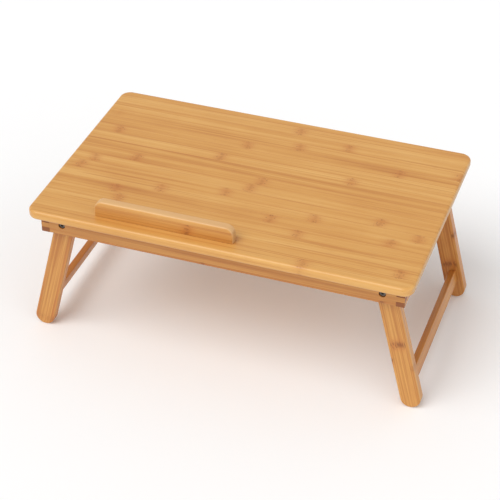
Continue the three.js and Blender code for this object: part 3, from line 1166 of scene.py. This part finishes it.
class TRAY_OT_wood_screws(bpy.types.Operator):
    """Make the screws that hold the rails and the ledge to the panel, with a cross recess"""

    bl_idname = "tray.wood_screws"
    bl_label = "Wood Screws"

    def execute(self, context):
        hardware = context.scene.tray_hardware_sizes
        radius, head = hardware.screw_head, hardware.screw_head_height
        core, root = hardware.screw_core, hardware.screw_root
        plain = 9 * MM

        def head_end(node):
            x, y, _ = centre(node)
            return (x, y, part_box(node)[0].z)

        material = metal("steel_screw", context.scene.tray_hardware.steel, 0.3)
        panel_screws = [screw for screws in PANEL_SCREWS.values() for screw in screws]
        for nodes in (panel_screws, LEDGE_SCREWS):
            low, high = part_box(nodes[0])
            tip = high.z - low.z
            taper = tip - 5 * MM
            thread = ridged(hardware.screw_shank, root, plain, taper, hardware.screw_pitch)
            screw = turned(
                "screw_pattern",
                [(2.6 * MM, 0.0), (3.1 * MM, 0.13 * MM), (3.47 * MM, 0.5 * MM), (radius, 1.0 * MM),
                 (radius, head), (core, head), (core, plain),
                 *thread, (core, taper), (root, taper + 1.5 * MM), (0.12 * MM, tip)], 32,
            )
            for wide, narrow in ((1.9, 0.45), (0.45, 1.9)):
                arm = Vector((wide * MM, narrow * MM, hardware.recess))
                cut(screw, [add_block("recess", -arm, arm)])
            shade(screw)
            settle_copies(screw, [(node, (0.0, 0.0, 0.0)) for node in nodes], material, head_end)
        return {"FINISHED"}


# ---- the stage -----------------------------------------------------------------------------------


def add_soft_light(name, strength, spread, source):
    """A distant light of that angular size, from the direction of source."""
    clear_selection()
    bpy.ops.object.light_add(type="SUN", location=Vector(source) * 2)
    light = bpy.context.object
    light.name = name
    light.data.energy = strength
    light.data.angle = spread
    light.rotation_euler = Vector(source).to_track_quat("Z", "Y").to_euler()


class TRAY_OT_stage(bpy.types.Operator):
    """Make the plain floor, the soft lights and the camera"""

    bl_idname = "tray.stage"
    bl_label = "Stage"

    def execute(self, context):
        studio = context.scene.tray_studio
        clear_selection()
        bpy.ops.mesh.primitive_plane_add(size=studio.floor_width)
        floor = bpy.context.object
        floor.name = "floor"
        finish = Finish("plain_floor")
        finish.set(Base_Color=tuple(studio.floor), Roughness=0.9, Specular_IOR_Level=0.1)
        floor.data.materials.append(finish.material)

        world = bpy.data.worlds.new("studio")
        world.use_nodes = True
        sky = world.node_tree.nodes["Background"]
        sky.inputs["Color"].default_value = (1.0, 1.0, 1.0, 1.0)
        sky.inputs["Strength"].default_value = studio.sky
        context.scene.world = world

        add_soft_light("key_light", studio.key, studio.key_spread, (-0.30, -0.50, 0.81))
        add_soft_light("fill_light", studio.fill, studio.fill_spread, (0.85, -0.30, 0.45))

        back = Vector((
            math.sin(studio.azimuth) * math.cos(studio.elevation),
            -math.cos(studio.azimuth) * math.cos(studio.elevation),
            math.sin(studio.elevation),
        ))
        aim = Vector((*studio.aim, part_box("top_panel")[1].z))
        bpy.ops.object.camera_add(location=aim + back * studio.distance)
        camera = bpy.context.object
        camera.rotation_mode = "QUATERNION"
        level = (-back).to_track_quat("-Z", "Y")
        camera.rotation_quaternion = level @ Quaternion((0, 0, 1), studio.roll)
        camera.data.lens = studio.focal_length
        context.scene.camera = camera
        context.scene.view_settings.view_transform = "Standard"
        return {"FINISHED"}


# ---- the add-on ----------------------------------------------------------------------------------

OPERATORS = (
    TRAY_OT_stage,
    TRAY_OT_top_panel,
    TRAY_OT_device_ledge,
    TRAY_OT_cross_rails,
    TRAY_OT_side_rails,
    TRAY_OT_legs,
    TRAY_OT_stretchers,
    TRAY_OT_pivot_bolts,
    TRAY_OT_washers,
    TRAY_OT_inserts,
    TRAY_OT_dowels,
    TRAY_OT_wood_screws,
)

SETTINGS = {
    "tray_sizes": TraySizes,
    "tray_hardware_sizes": HardwareSizes,
    "tray_bamboo": BambooFinish,
    "tray_hardware": HardwareFinish,
    "tray_studio": StudioSettings,
}


class TRAY_PT_workshop(bpy.types.Panel):
    """The tray table's settings, and a button for each piece"""

    bl_label = "Tray Table"
    bl_space_type = "VIEW_3D"
    bl_region_type = "UI"
    bl_category = "Tray Table"

    def draw(self, context):
        for operator in OPERATORS:
            self.layout.operator(operator.bl_idname)
        for name in SETTINGS:
            group = getattr(context.scene, name)
            box = self.layout.box()
            for key in group.bl_rna.properties.keys():
                if key not in ("rna_type", "name"):
                    box.prop(group, key)


CLASSES = (*SETTINGS.values(), *OPERATORS, TRAY_PT_workshop)


def register():
    for cls in CLASSES:
        bpy.utils.register_class(cls)
    for name, group in SETTINGS.items():
        setattr(bpy.types.Scene, name, bpy.props.PointerProperty(type=group))


def unregister():
    for name in SETTINGS:
        delattr(bpy.types.Scene, name)
    for cls in reversed(CLASSES):
        bpy.utils.unregister_class(cls)


def main():
    register()
    for operator in OPERATORS:
        space, call = operator.bl_idname.split(".")
        getattr(getattr(bpy.ops, space), call)()


if __name__ == "__main__":
    main()
